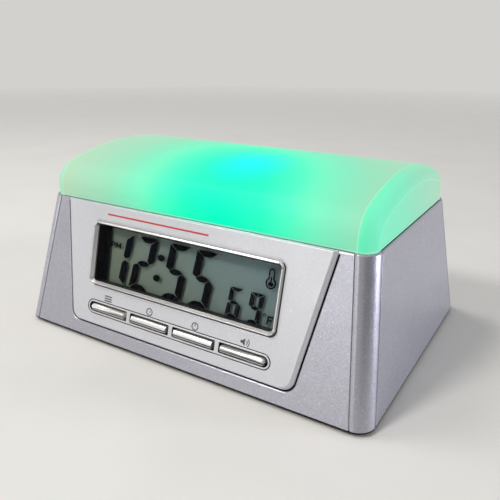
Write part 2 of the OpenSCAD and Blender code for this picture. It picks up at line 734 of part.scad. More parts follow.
module light_board() color("#2f6b43") translate([lamp_x, lamp_y, tray_floor]) difference() {
    linear_extrude(light_board_t) polygon(rect(light_board_w, light_board_d, 1));
    for (s = [-1, 1]) translate([s * pin_x, 0, -over])
        cylinder(d = pin_d + fit, h = light_board_t + 2 * over);
}

module lamp() color("#7dffd8", 0.7) translate([lamp_x, lamp_y, tray_floor + light_board_t]) {
    cylinder(d = lamp_d + 0.8, h = 1);
    cylinder(d = lamp_d, h = lamp_l);
    translate([0, 0, lamp_l]) intersection() {
        sphere(d = lamp_d);
        translate([0, 0, lamp_d / 2]) cube(lamp_d, center = true);
    }
}

module speaker_at() translate([speaker_x, speaker_y, cover_top]) children();

module speaker_basket() color(steel) speaker_at() rotate_extrude() polygon([
    [rim_r, 0], [speaker_d / 2, 0], [speaker_d / 2, speaker_flange_t], [rim_r + basket_t, speaker_flange_t],
    [rim_r + basket_t, rim_top], [magnet_d / 2, basket_h - basket_t], [magnet_d / 2, basket_h],
    [coil_r - 2, basket_h], [coil_r - 2, basket_h - basket_t], [magnet_d / 2 - basket_t, basket_h - basket_t],
    [rim_r, rim_top]]);

module speaker_cone() color("#2b2b2e") speaker_at() rotate_extrude() polygon([
    [0, 3.2], [coil_r - 1.5, 2.6], [coil_r, 4.4], [rim_r - 2.6, 1.4], [rim_r - 1.6, 0.6], [rim_r - fit, 0.6],
    [rim_r - fit, 1.1], [rim_r - 1.4, 1.1], [rim_r - 2.4, 1.9], [coil_r, 5],
    [coil_r, basket_h - basket_t - 2 * fit], [coil_r - 0.6, basket_h - basket_t - 2 * fit], [coil_r - 0.6, 4.8],
    [coil_r - 1.7, 3.2], [0, 3.8]]);

module speaker_magnet() color("#4a4a4e") speaker_at() translate([0, 0, basket_h]) {
    cylinder(d = magnet_d, h = magnet_h - 1);
    translate([0, 0, magnet_h - 1]) cylinder(d = magnet_d - 2, h = 1);
}

// A pan-head screw, point up, with its seat at the origin
module screw_up(d, l, head_d, head_h) {
    translate([0, 0, -head_h]) cylinder(d = head_d, h = head_h);
    translate([0, 0, -head_h / 2]) cylinder(d = d, h = l + head_h / 2);
}

module speaker_screws() color(steel) for (a = speaker_screws_at) speaker_fixing(a)
    translate([0, 0, cover_t / 2 + speaker_flange_t]) rotate([180, 0, 0])
        screw_up(small_screw_d, cover_t / 2 + speaker_flange_t, speaker_head_d, small_head_h);

// Cells lie side by side with alternate ends to the left
module along_cells() {
    for (i = [-1 : 1]) translate([bay_x, bay_y + i * cell_pitch, cell_z])
        mirror([i == 0 ? 1 : 0, 0, 0]) translate([-bay_l / 2, 0, 0]) rotate([0, 90, 0]) children();
}

module battery_cells() color("#c9a227") along_cells() translate([0, 0, plate_t + spring_l + fit / 2]) {
    nub = 1;
    cylinder(d = cell_d, h = cell_l - nub);
    cylinder(d = 5.2, h = cell_l);
}

module contact_springs() color(steel) along_cells() wire(
    [for (i = [0 : 8 * spring_turns])
        let (s = i / (8 * spring_turns), r = spring_r + (spring_end_r - spring_r) * s, a = 45 * i)
        [r * cos(a), r * sin(a),
         plate_t + spring_wire / 2 + 0.05 + s * (spring_l - spring_wire - 0.1)]],
    spring_wire, 6, [0, 0, 1]);

// Each end has one plate that joins two cells, and one with a tab for its lead
module contact_plates() color(steel) for (sx = [-1, 1]) translate([bay_x, bay_y, cell_z]) {
    translate([sx * (bay_l / 2 - plate_t / 2), 0, 0]) {
        translate([-plate_t / 2, sx * cell_pitch / 2 - (plate_w + cell_pitch) / 2, -plate_h / 2])
            cube([plate_t, plate_w + cell_pitch, plate_h]);
        translate([-plate_t / 2, -sx * cell_pitch - plate_w / 2, -plate_h / 2])
            cube([plate_t, plate_w, plate_h]);
        translate([-plate_t / 2, -sx * cell_pitch - tab_w / 2, 0])
            cube([plate_t, tab_w, roof_top + tab_h - cell_z]);
    }
}

module battery_door() color(black) difference() {
    union() {
        translate([bay_x, bay_y, foot_proud]) linear_extrude(door_t) polygon(rect(door_w, door_l, 1));
        for (sx = [-1, 1], y = tongue_y) translate([bay_x, bay_y + y, 0]) mirror([sx < 0 ? 1 : 0, 0, 0])
            translate([door_w / 2 - 0.5, 0, foot_proud + door_t - tongue_t])
                cube([tongue_out + 0.5, tongue_l, tongue_t]);
    }
    for (i = [0 : 5]) translate([bay_x - 9, bay_y - door_l / 2 + 5 + 2 * i, foot_proud - over])
        cube([18, 1, over + 0.4]);
}

module rubber_feet() color("#2a2a2a") for (x = [-foot_x, foot_x], y = [-foot_y, foot_y])
    translate([x, y, 0]) {
        cylinder(d1 = foot_d - 0.6, d2 = foot_d, h = 0.3);
        translate([0, 0, 0.3]) cylinder(d = foot_d, h = foot_t - 0.3);
    }

module base_screws() color(steel)
    for (x = [-base_screw_x, base_screw_x], y = [-base_screw_y, base_screw_y])
        translate([x, y, foot_proud + base_head_h])
            screw_up(base_screw_d, base_screw_l, base_head_d, base_head_h);

module board_screws() color(steel) on_front() for (p = board_screws_at)
    translate([p[0], p[1], -board_back_n])
        screw_up(small_screw_d, board_back_n - wall_n - 2 * fit, small_head_d, small_head_h);

// A pair of leads side by side, from a seat to the back of the main board
module lead_pair(starts, away, at, apart) {
    colours = ["#b3261e", "#202022"];
    tip = 0.3;
    back = lead_back * [0, cos(tilt), -sin(tilt)];
    for (i = [0, 1])
        color(colours[i]) let (s = starts[i], e = on_face(at[0] + apart * (i - 0.5), at[1], -board_back_n))
            let (middle = (s + away + e + back) / 2)
            let (bend = spline([s + tip * away, s + away, middle, e + back, e + tip * back], 3))
            wire(concat([s], bend, [e]), lead_d, 8, [1, 0.1, 0.05]);
}

module battery_leads() lead_pair(
    [for (sx = [-1, 1])
        [bay_x + sx * (bay_l / 2 - plate_t / 2), bay_y - sx * cell_pitch, roof_top + tab_h]],
    [0, 0, lead_rise], battery_lead_at, battery_leads_apart);

module speaker_leads() lead_pair(
    [for (s = [-1, 1]) [speaker_x + s * lead_d, speaker_y - speaker_d / 2 + 0.8, cover_top + speaker_flange_t]],
    [0, 0, lead_rise], speaker_lead_at, 2 * lead_d);

module light_leads() lead_pair(
    [for (s = [-1, 1]) [lamp_x + lead_hole_x + s * (lead_d / 2 + 0.4), lamp_y, tray_floor]],
    [0, 0, -lead_rise], light_lead_at, 2 * lead_d);

main_housing();
base_cover();
front_panel();
window_bezel();
display_window();
lcd_frame();
lcd_glass();
contact_strips();
main_board();
tact_switches();
mode_button();
hour_button();
minute_button();
talk_button();
mode_plunger();
hour_plunger();
minute_plunger();
talk_plunger();
voice_chip();
quartz_crystal();
thermistor();
light_dome();
light_reflector();
light_board();
lamp();
speaker_basket();
speaker_cone();
speaker_magnet();
speaker_screws();
battery_cells();
contact_springs();
contact_plates();
battery_door();
rubber_feet();
base_screws();
board_screws();
battery_leads();
speaker_leads();
light_leads();
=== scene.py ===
"""A talking alarm clock with a lit milky dome: the finish of every piece, a plain stage and the camera."""

import json
from math import atan2, cos, pi, radians, sin, sqrt

import bmesh
import bpy
from mathutils import Matrix, Vector

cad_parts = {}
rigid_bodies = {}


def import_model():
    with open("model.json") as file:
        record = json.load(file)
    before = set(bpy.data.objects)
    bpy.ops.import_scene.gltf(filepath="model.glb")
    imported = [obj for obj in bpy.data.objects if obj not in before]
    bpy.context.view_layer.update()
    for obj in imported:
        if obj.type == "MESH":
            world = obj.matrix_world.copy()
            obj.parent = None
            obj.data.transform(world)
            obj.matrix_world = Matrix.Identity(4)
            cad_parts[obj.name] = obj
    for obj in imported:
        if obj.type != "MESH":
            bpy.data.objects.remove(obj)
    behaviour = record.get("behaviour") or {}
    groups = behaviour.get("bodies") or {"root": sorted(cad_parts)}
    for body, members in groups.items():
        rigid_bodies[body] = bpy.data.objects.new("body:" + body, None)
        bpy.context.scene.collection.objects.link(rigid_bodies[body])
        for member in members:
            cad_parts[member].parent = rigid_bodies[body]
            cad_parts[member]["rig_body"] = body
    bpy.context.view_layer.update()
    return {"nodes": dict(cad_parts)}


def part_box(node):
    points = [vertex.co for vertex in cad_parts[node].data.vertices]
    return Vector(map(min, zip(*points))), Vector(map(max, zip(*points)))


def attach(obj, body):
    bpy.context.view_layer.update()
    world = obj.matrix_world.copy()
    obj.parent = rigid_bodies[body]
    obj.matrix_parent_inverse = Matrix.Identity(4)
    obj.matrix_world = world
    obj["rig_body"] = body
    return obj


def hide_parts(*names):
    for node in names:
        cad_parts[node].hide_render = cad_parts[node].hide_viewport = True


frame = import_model()
MM = 0.001

# Sizes are in mm unless a comment says otherwise. A place on the sloped front is given as u across it, v up
# it and n out of it.

# The housing: half its width, its lower front edge, its top and its upright corners, and how far its sides,
# front and back come in between the lower edge and the top.
HALF_W, EDGE_Y, EDGE_Z, TOP_Z, CORNER_R = 62.5, -44.7, 1.0, 43.4, 5.1
SIDE_IN, FRONT_IN, BACK_IN = 5.8, 11.0, 10.2
LEAN = atan2(FRONT_IN, TOP_Z - EDGE_Z)
# Soft edges: the widest, on the housing's top, and the one on the housing's side of the gap round the panel.
WIDEST, GAP_EDGE = 0.4, 0.3
# Where that gap lies on the front, and how near the front face or the top an edge has to be to count.
GAP_U, GAP_V, GAP_N, TOP_NEAR = 50, (3.5, 43), 0.03, 0.05
# Silver paint covers the left part of that gap, as far right and as deep as this; the rest of the gap is
# black, as painted shade.
# Elsewhere the silver reaches this far into a groove, and below this height above the housing's lower edge it
# is painted dark, as painted shade.
PAINTED_U, PAINTED_N, PAINT_REACH, SHADE_RIM = -18, 1.3, 0.4, 0.4
# The panel's face, and its openings for the keys and the window.
PANEL_N, OPENING_N, OPENING_U = 0.8, 0.62, 34.8
SLOT_V, WINDOW_V = (8.2, 13.4), (17.4, 37.9)
# The display glass: its face, its thickness, its middle, the size in view and the margin behind the frame.
GLASS_N, GLASS_T, GLASS_V, GLASS_W, GLASS_H, GLASS_MARGIN = -2.723, 2.2, 28.1, 65.6, 17.8, 0.9
# The dome's light: where it spreads from, how much it leans, its stretch each way and how far it reaches.
# Then the grain of the milk, how much it blurs the light, and how much nearer the lamp the rolled ends seem.
GLOW, GLOW_LEAN, GLOW_STRETCH, GLOW_REACH = (8.0, -17.1, 40.3), 0.2, (1.0, 0.9, 1.1), 70
MILK_GRAIN, MILK_BLUR, END_NEARER = 7, 3, 13
# The hottest spot over the lamp, its core and its rim.
HOT, HOT_CORE, HOT_RIM = (9.5, -13.0, 58.0), 2, 15
# How far apart the gloss of paint and of lacquer changes, and the grain of the display's film.
PAINT_CLOUD, LACQUER_CLOUD, FILM_GRAIN = 9, 14, 0.6
# Most values of a noise, which has no unit, lie between these two.
NOISE_LOW, NOISE_HIGH = 0.3, 0.7


def linear(code):
    """An sRGB hex colour as the linear colour that shaders take."""
    parts = [int(code[i:i + 2], 16) / 255 for i in (1, 3, 5)]
    return [*(p / 12.92 if p <= 0.04045 else ((p + 0.055) / 1.055) ** 2.4 for p in parts), 1.0]


def add(tree, kind, inputs=None, stops=(), **settings):
    """Adds a node: inputs are sockets or values by name or number, stops a ramp's places and hex colours."""
    node = tree.nodes.new(kind)
    for name, value in settings.items():
        setattr(node, name, value)
    for name, value in (inputs or {}).items():
        if isinstance(value, bpy.types.NodeSocket):
            tree.links.new(value, node.inputs[name])
        else:
            node.inputs[name].default_value = value
    for i, (place, code) in enumerate(stops):
        stop = node.color_ramp.elements[i] if i < 2 else node.color_ramp.elements.new(place)
        stop.position, stop.color = place, linear(code)
    return node


def material(name, inputs):
    """A new material with its plain values set, its tree, and the place on the piece in metres."""
    made = bpy.data.materials.new(name)
    made.use_nodes = True
    tree = made.node_tree
    for key, value in inputs.items():
        tree.nodes["Principled BSDF"].inputs[key].default_value = value
    return made, tree, add(tree, "ShaderNodeTexCoord").outputs["Object"]


def surface(tree, noise, rough, sockets):
    """Ends a material: roughness wanders with a noise between two values, and sockets go to the shader."""
    gloss = add(tree, "ShaderNodeMapRange", {
        "Value": noise, "From Min": NOISE_LOW, "From Max": NOISE_HIGH,
        "To Min": rough[0], "To Max": rough[1]})
    for key, socket in {**sockets, "Roughness": gloss.outputs["Result"]}.items():
        tree.links.new(socket, tree.nodes["Principled BSDF"].inputs[key])


def moulded(name, low, high, grain, rough, relief, **inputs):
    """A moulded finish: shade, roughness and a little relief wander together over grain mm."""
    made, tree, place = material(name, inputs)
    noise = add(tree, "ShaderNodeTexNoise", {
        "Vector": place, "Scale": 1 / (grain * MM), "Detail": 4.0}).outputs["Fac"]
    shade = add(tree, "ShaderNodeValToRGB", {"Fac": noise}, stops=[(NOISE_LOW, low), (NOISE_HIGH, high)])
    bump = add(tree, "ShaderNodeBump", {"Height": noise, "Strength": 0.4, "Distance": relief * MM})
    surface(tree, noise, rough, {"Base Color": shade.outputs["Color"], "Normal": bump.outputs["Normal"]})
    return made


def flaked(name, low, high, spark, flake, turn, rough, shade_below, **inputs):
    """Metallic paint: every flake has its own shade and leans its own way. Below a given height in mm it is
    dark: painted shade.
    """
    made, tree, place = material(name, inputs)
    cells = add(tree, "ShaderNodeTexVoronoi", {"Vector": place, "Scale": 1 / (flake * MM)}).outputs["Color"]
    cloud = add(tree, "ShaderNodeTexNoise", {"Vector": place, "Scale": 1 / (PAINT_CLOUD * MM)}).outputs["Fac"]
    shade = add(tree, "ShaderNodeValToRGB", {"Fac": cells}, stops=[(0.1, low), (0.97, spark), (0.88, high)])
    lean = add(tree, "ShaderNodeVectorMath", {0: cells, 1: (0.5, 0.5, 0.5)}, operation="SUBTRACT").outputs[0]
    normal = add(tree, "ShaderNodeNewGeometry").outputs["Normal"]
    leant = add(tree, "ShaderNodeVectorMath", {
        0: lean, 1: (turn, turn, turn), 2: normal}, operation="MULTIPLY_ADD").outputs[0]
    facing = add(tree, "ShaderNodeVectorMath", {0: leant}, operation="NORMALIZE").outputs[0]
    height = add(tree, "ShaderNodeSeparateXYZ", {0: place}).outputs["Z"]
    # Painted shade: the coat turns near black below the given height.
    painted_shade_mask = add(tree, "ShaderNodeMath", {0: height, 1: shade_below * MM}, operation="LESS_THAN").outputs[0]
    coat_with_painted_shade = add(tree, "ShaderNodeMix", {
        0: painted_shade_mask, 6: shade.outputs["Color"], 7: linear("#0c0c0e")}, data_type="RGBA").outputs[2]
    surface(tree, cloud, rough, {"Base Color": coat_with_painted_shade, "Normal": facing})
    return made


def lacquer_painted_by_facing(name, stops):
    """Bright lacquer on a bar with painted light and shade: stops give its shade by facing, from the
    underside over the face to the upper side.
    """
    underside, upper_side = -0.65, 0.6
    made, tree, place = material(name, {"Metallic": 0.6})
    noise = add(tree, "ShaderNodeTexNoise", {
        "Vector": place, "Scale": 1 / (LACQUER_CLOUD * MM)}).outputs["Fac"]
    normal = add(tree, "ShaderNodeNewGeometry").outputs["Normal"]
    # Painted shade and painted light: the shade follows how far each face turns up the sloped front.
    upward = add(tree, "ShaderNodeVectorMath", {
        0: normal, 1: (0.0, sin(LEAN), cos(LEAN))}, operation="DOT_PRODUCT").outputs["Value"]
    wander = add(tree, "ShaderNodeMath", {0: noise, 1: 0.1, 2: upward}, operation="MULTIPLY_ADD").outputs[0]
    turned = add(tree, "ShaderNodeMapRange", {
        "Value": wander, "From Min": underside, "From Max": upper_side}).outputs["Result"]
    shade = add(tree, "ShaderNodeValToRGB", {"Fac": turned}, stops=stops).outputs["Color"]
    surface(tree, noise, (0.2, 0.24), {"Base Color": shade})
    return made


def display_film():
    """Reflector film with a fine grain, bluer toward its upper right corner."""
    # How fast it turns bluer to the right and upward, per metre.
    bluer = (9.0, 0.0, 14.0)
    made, tree, place = material("grey_green_reflector_film", {"Specular IOR Level": 0.1})
    grain = add(tree, "ShaderNodeTexNoise", {
        "Vector": place, "Scale": 1 / (FILM_GRAIN * MM), "Detail": 3.0}).outputs["Fac"]
    across = add(tree, "ShaderNodeVectorMath", {
        0: place, 1: bluer}, operation="DOT_PRODUCT").outputs["Value"]
    wander = add(tree, "ShaderNodeMath", {0: grain, 1: 0.16, 2: across}, operation="MULTIPLY_ADD").outputs[0]
    shade = add(tree, "ShaderNodeValToRGB", {"Fac": wander}, stops=[(0.2, "#7e8b7b"), (0.9, "#79949b")])
    surface(tree, grain, (0.45, 0.6), {"Base Color": shade.outputs["Color"]})
    return made


def lit_dome():
    """Milky acrylic lit from inside, its glow painted: colour and emission change away from the lamp, a
    painted hot spot sits over it, and fillet lines are painted lighter.
    """
    made, tree, place = material("milky_acrylic", {"Specular IOR Level": 0.06, "Emission Strength": 0.6})
    milk = add(tree, "ShaderNodeTexNoise", {
        "Vector": place, "Scale": 1 / (MILK_GRAIN * MM), "Detail": 2.0}).outputs["Fac"]
    band = add(tree, "ShaderNodeAttribute", attribute_name="fillet_band").outputs["Fac"]
    painted_line = add(tree, "ShaderNodeAttribute", attribute_name="fillet_line").outputs["Fac"]
    apart = add(tree, "ShaderNodeVectorMath", {
        0: place, 1: [c * MM for c in GLOW]}, operation="SUBTRACT").outputs[0]
    skewed = add(tree, "ShaderNodeVectorMath", {
        0: apart, 1: (1.0, GLOW_LEAN, 0.0)}, operation="DOT_PRODUCT").outputs["Value"]
    parts = add(tree, "ShaderNodeSeparateXYZ", {0: apart}).outputs
    leant = add(tree, "ShaderNodeCombineXYZ", {"X": skewed, "Y": parts["Y"], "Z": parts["Z"]}).outputs[0]
    shaped = add(tree, "ShaderNodeVectorMath", {0: leant, 1: GLOW_STRETCH}, operation="MULTIPLY").outputs[0]
    away = add(tree, "ShaderNodeVectorMath", {0: shaped}, operation="LENGTH").outputs["Value"]
    cloudy = add(tree, "ShaderNodeMath", {
        0: milk, 1: MILK_BLUR * MM, 2: away}, operation="MULTIPLY_ADD").outputs[0]
    near = add(tree, "ShaderNodeMath", {
        0: band, 1: -END_NEARER * MM, 2: cloudy}, operation="MULTIPLY_ADD").outputs[0]
    far = add(tree, "ShaderNodeMapRange", {"Value": near, "From Max": GLOW_REACH * MM}).outputs["Result"]
    mint = add(tree, "ShaderNodeValToRGB", {"Fac": far}, stops=[
        (0.235, "#00d2a6"), (1.0, "#96b093"), (0.32, "#20d2a2"), (0.41, "#42cfa3"), (0.49, "#60c8a0"),
        (0.58, "#6ebe9d"), (0.66, "#7cb799"), (0.83, "#8ab299")]).outputs["Color"]
    # Painted glow: a hot spot painted over the lamp.
    above = add(tree, "ShaderNodeVectorMath", {
        0: place, 1: [c * MM for c in HOT]}, operation="DISTANCE").outputs["Value"]
    hot = add(tree, "ShaderNodeMapRange", {
        "Value": above, "From Min": HOT_CORE * MM, "From Max": HOT_RIM * MM, "To Min": 0.8, "To Max": 0.0})
    with_painted_hot_spot = add(tree, "ShaderNodeMix", {
        0: hot.outputs["Result"], 6: mint, 7: linear("#00d4d4")}, data_type="RGBA").outputs[2]
    lined = add(tree, "ShaderNodeMix", {
        0: painted_line, 6: with_painted_hot_spot, 7: linear("#a2d4b8")}, data_type="RGBA").outputs[2]
    surface(tree, milk, (0.4, 0.46), {"Base Color": lined, "Emission Color": lined})
    return made


# Silver paint over plastic: a fine sparkle that keeps the big faces from reading as bare grey. Real flakes
# are too fine to show here, so both paints have them drawn about a third of a millimetre wide. A band along
# the lower edge is painted dark: painted shade for the dark gap under the housing.
SILVER = flaked(
    "silver_flake_paint", "#a4a4ae", "#b4b4be", "#c8c8d2", 0.3, 0.05, (0.3, 0.36), EDGE_Z + SHADE_RIM,
    Metallic=0.7)
# A smoother, paler silver: the raised panel reads lighter than the body.
PALE = flaked(
    "pale_silver_paint", "#c4c5cb", "#cacbd0", "#d0d0d6", 0.35, 0.03, (0.3, 0.38), 0.0, Metallic=0.3)
# Bright silver lacquer: the frame reads whiter than the panel, with highlights from the lamps, painted light
# on faces turned up and painted shade on its underside.
BRIGHT = lacquer_painted_by_facing("bright_lacquer_painted_shade", [
    (0.06, "#3c3c40"), (0.8, "#eae8e4"), (0.28, "#8a8a8e"), (0.6, "#d2d1d0")])
# The same lacquer on the keys: a painted shadow line along their lower side, and below it a paler band
# painted as a lit skirt.
KEY_LACQUER_SHADOW_LINED = lacquer_painted_by_facing("key_lacquer_painted_shadow_line", [
    (0.1, "#c0c0c4"), (0.8, "#eeece8"), (0.2, "#b4b4b8"), (0.26, "#202024"), (0.4, "#2c2c30"),
    (0.49, "#bcbcbc"), (0.62, "#dad9d8")])
# Black ABS with a spark-eroded grain: dull, slightly grey in the light.
BLACK = moulded("black_abs", "#0b0b0c", "#141416", 0.8, (0.45, 0.58), 0.02)
# Clear acrylic: hardly more than a faint smoke tint over the display.
CLEAR = moulded("clear_acrylic", "#101212", "#161818", 6.0, (0.04, 0.07), 0.0, Alpha=0.04)
# The film behind the liquid crystal: a soft grey-green field that the dark marks stand out from.
FILM = display_film()
# Liquid crystal turned dark: near black with a blue cast.
INK = moulded(
    "dark_liquid_crystal", "#08090e", "#0e1016", 0.7, (0.4, 0.5), 0.0, **{"Specular IOR Level": 0.0})
# The lit dome, its glow painted as colour and emission: cyan over the lamp, mint around it and paler at both
# ends, so it reads as lit from inside.
DOME = lit_dome()
# Red and grey pad-printed inks: thin and matt on the paint.
RED = moulded("red_pad_ink", "#b02428", "#c0302f", 0.5, (0.4, 0.5), 0.0)
GREY_INK = moulded("grey_pad_ink", "#3c3c42", "#4a4a50", 0.5, (0.4, 0.5), 0.0)
# Foot rubber: dark grey with hardly any shine.
RUBBER = moulded("grey_foot_rubber", "#2c2c2d", "#3a3a3b", 0.5, (0.7, 0.85), 0.03)
# Layered silicone rubber: dull pink, which tells the strips from the hard plastics.
STRIP = moulded("layered_strip_rubber", "#b9877f", "#d0a79c", 0.4, (0.6, 0.7), 0.02)
# Lacquered circuit board: deep green with a slight gloss.
BOARD = moulded("green_board_lacquer", "#124c2c", "#1d6a3d", 2.0, (0.3, 0.42), 0.01)
# Switch plastics: black cases with white plungers, so that each switch reads as two pieces.
SWITCH = moulded("black_switch_plastic", "#18181a", "#242427", 0.5, (0.4, 0.5), 0.01)
PLUNGER = moulded("white_switch_plastic", "#d0cec8", "#e0ded8", 0.6, (0.4, 0.5), 0.01)
# Chip resin: a black drop, a little uneven.
RESIN = moulded("black_chip_resin", "#131314", "#1f1f21", 0.4, (0.5, 0.65), 0.02)
# Nickel-plated steel: a soft grey mirror with a trace of handling.
STEEL = moulded("plated_steel", "#b4b2ae", "#c6c4c0", 0.9, (0.24, 0.36), 0.004, Metallic=1.0)
# Sensor resin: a small brown bead.
BEAD = moulded("brown_sensor_resin", "#5a2f1a", "#6e3c22", 0.5, (0.35, 0.45), 0.01)
# White moulding under the dome: bright and even, to throw the lamp's light upward.
WHITE = moulded("white_reflector_plastic", "#dededc", "#ebebe8", 1.5, (0.35, 0.45), 0.01)
# Lamp epoxy: glossy and lit, the brightest green inside.
EPOXY = moulded(
    "green_lamp_epoxy", "#2fd8a8", "#52ecc0", 1.0, (0.1, 0.16), 0.0,
    **{"Emission Color": linear("#40ffe0"), "Emission Strength": 1.5})
# Cone paper: black, fibrous and fully matt.
PAPER = moulded("black_cone_paper", "#171615", "#262422", 0.7, (0.75, 0.9), 0.03)
# Pressed ferrite: dark grey with a dry surface.
FERRITE = moulded("grey_ferrite", "#2b2b2d", "#3a3a3c", 0.6, (0.5, 0.62), 0.02)
# Shrunk cell jackets: a plain deep blue with a smooth shine.
JACKET = moulded("cell_jacket", "#22365c", "#2b4574", 3.0, (0.25, 0.35), 0.0)
# Lead insulation: soft red PVC.
LEAD = moulded("red_lead_pvc", "#98221f", "#b12c28", 0.8, (0.35, 0.45), 0.01)

# Each carried-over piece: its material and the width of the soft edge it is given.
KEYS = ("mode", "hour", "minute", "talk")
FINISHES = {
    "main_housing": (SILVER, 0.12), "front_panel": (PALE, 0.1), "window_bezel": (BRIGHT, 0.16),
    "base_cover": (BLACK, 0.1), "battery_door": (BLACK, 0.1), "rubber_feet": (RUBBER, 0.15),
    "lcd_frame": (BLACK, 0.05), "display_window": (CLEAR, 0), "contact_strips": (STRIP, 0),
    "main_board": (BOARD, 0), "tact_switches": (SWITCH, 0.05), "voice_chip": (RESIN, 0.05),
    "quartz_crystal": (STEEL, 0), "thermistor": (BEAD, 0), "light_reflector": (WHITE, 0),
    "light_board": (BOARD, 0), "lamp": (EPOXY, 0), "speaker_basket": (STEEL, 0), "speaker_cone": (PAPER, 0),
    "speaker_magnet": (FERRITE, 0.1), "speaker_screws": (STEEL, 0), "board_screws": (STEEL, 0),
    "battery_cells": (JACKET, 0), "contact_springs": (STEEL, 0), "contact_plates": (STEEL, 0),
    "battery_leads": (LEAD, 0), "speaker_leads": (LEAD, 0), "light_leads": (LEAD, 0),
    **{f"{key}_button": (KEY_LACQUER_SHADOW_LINED, 0) for key in KEYS},
    **{f"{key}_plunger": (PLUNGER, 0) for key in KEYS},
}


def placed(name, data):
    """A new object in the scene, at the origin."""
    made = bpy.data.objects.new(name, data)
    bpy.context.scene.collection.objects.link(made)
    return made


def piece(name, mesh, finish, body, *nodes):
    """Puts a mesh in the scene as a piece that rides on a body and stands for these nodes."""
    mesh.materials.clear()
    mesh.materials.append(finish)
    made = placed(name, mesh)
    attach(made, body)
    if nodes:
        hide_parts(*nodes)
    return made


def meshed(name, work):
    """The shape that was worked on as a new mesh."""
    mesh = bpy.data.meshes.new(name)
    work.to_mesh(mesh)
    work.free()
    return mesh


def settle(mesh, *modifiers):
    """The mesh with modifiers (kind, settings) applied, as a plain mesh."""
    made = placed("settling", mesh)
    for kind, settings in modifiers:
        modifier = made.modifiers.new(kind.lower(), kind)
        for key, value in settings.items():
            setattr(modifier, key, value)
    ready = made.evaluated_get(bpy.context.evaluated_depsgraph_get())
    result = bpy.data.meshes.new_from_object(ready)
    bpy.data.objects.remove(made)
    return result


def on_front(u, v, n):
    """A place on the sloped front, in mm, as a place in metres."""
    y = EDGE_Y + v * sin(LEAN) - n * cos(LEAN)
    z = EDGE_Z + v * cos(LEAN) + n * sin(LEAN)
    return Vector((u, y, z)) * MM


def off_front(spot):
    """A place in metres as a place on the sloped front, in mm."""
    x, y, z = spot / MM
    v = (y - EDGE_Y) * sin(LEAN) + (z - EDGE_Z) * cos(LEAN)
    n = (z - EDGE_Z) * sin(LEAN) - (y - EDGE_Y) * cos(LEAN)
    return x, v, n


def edge_width(node, spot, plain):
    """Width of the soft edge at a spot: wider on the housing's top edge and its side of the panel gap."""
    u, v, n = off_front(spot)
    if node == "main_housing" and spot.z > (TOP_Z - TOP_NEAR) * MM:
        return WIDEST
    if node == "main_housing" and abs(n) < GAP_N and abs(u) < GAP_U and GAP_V[0] < v < GAP_V[1]:
        return GAP_EDGE
    return plain


def dark_inside_or_painted_shade(node, spot):
    """Whether a spot takes black: plain plastic inside the housing, painted shade in most of the panel gap
    and in the panel's openings.
    """
    u, v, n = off_front(spot)
    if node == "front_panel":
        in_opening = SLOT_V[0] < v < SLOT_V[1] or WINDOW_V[0] < v < WINDOW_V[1]
        return in_opening and n < OPENING_N and abs(u) < OPENING_U
    if -GAP_U < u < PAINTED_U and abs(n) < PAINTED_N:
        return False
    x, y, z = spot / MM
    rise = (z - EDGE_Z) / (TOP_Z - EDGE_Z)
    front, back = EDGE_Y + FRONT_IN * rise, -EDGE_Y - BACK_IN * rise
    past_x = abs(x) - (HALF_W - SIDE_IN * rise) + CORNER_R
    past_y = abs(y - (front + back) / 2) - (back - front) / 2 + CORNER_R
    depth = CORNER_R - min(max(past_x, past_y), 0) - sqrt(max(past_x, 0) ** 2 + max(past_y, 0) ** 2)
    return min(depth, TOP_Z - z) > PAINT_REACH


def softened(node, finish, edge):
    """A merged copy of a node with smooth curves and, where a width is given, edges that catch the light."""
    # Points this close are merged, and faces this level are joined. Edges that turn more than corner are
    # softened, and those that turn more than crease stay sharp in the shading.
    merge, flat, corner, crease = 0.002 * MM, radians(0.5), radians(35), radians(28)
    source = frame["nodes"][node]
    work = bmesh.new()
    work.from_mesh(source.data)
    bmesh.ops.remove_doubles(work, verts=work.verts, dist=merge)
    bmesh.ops.dissolve_limit(work, angle_limit=flat, verts=work.verts, edges=work.edges)
    bmesh.ops.connect_verts_concave(work, faces=work.faces)
    weight = work.edges.layers.float.new("bevel_weight_edge")
    for face in work.faces:
        face.smooth = True
    for side in work.edges:
        if edge and side.is_manifold and side.calc_face_angle() > corner:
            middle = (side.verts[0].co + side.verts[1].co) / 2
            side[weight] = edge_width(node, middle, edge) / WIDEST
    mesh = meshed(node, work)
    mesh.set_sharp_from_angle(angle=crease)
    if edge:
        bevel = {
            "width": WIDEST * MM, "segments": 2, "limit_method": "WEIGHT", "use_clamp_overlap": False,
            "loop_slide": False, "face_strength_mode": "FSTR_ALL"}
        smoothing = {"keep_sharp": True, "use_face_influence": True}
        mesh = settle(mesh, ("BEVEL", bevel), ("WEIGHTED_NORMAL", smoothing))
    piece("clock_" + node, mesh, finish, source["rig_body"], node)
    # Painted shade: faces in the panel gap and the panel's openings take black, as does the inside of the
    # housing.
    if node in ("main_housing", "front_panel"):
        mesh.materials.append(BLACK)
        for face in mesh.polygons:
            face.material_index = int(dark_inside_or_painted_shade(node, face.center))


def plates(name, outlines, low, high, finish):
    """Flat shapes on the front, each a convex outline of (u, v) points, from low to high above it."""
    work = bmesh.new()
    for outline in outlines:
        under = [work.verts.new(on_front(u, v, low)) for u, v in outline]
        over = [work.verts.new(on_front(u, v, high)) for u, v in outline]
        work.faces.new(over)
        work.faces.new(under[::-1])
        for i in range(len(outline)):
            j = (i + 1) % len(outline)
            work.faces.new((under[i], under[j], over[j], over[i]))
    bmesh.ops.recalc_face_normals(work, faces=work.faces)
    return piece(name, meshed(name, work), finish, "clock")


def block(u0, v0, u1, v1):
    """A four-cornered outline between two corners."""
    return [(u0, v0), (u1, v0), (u1, v1), (u0, v1)]


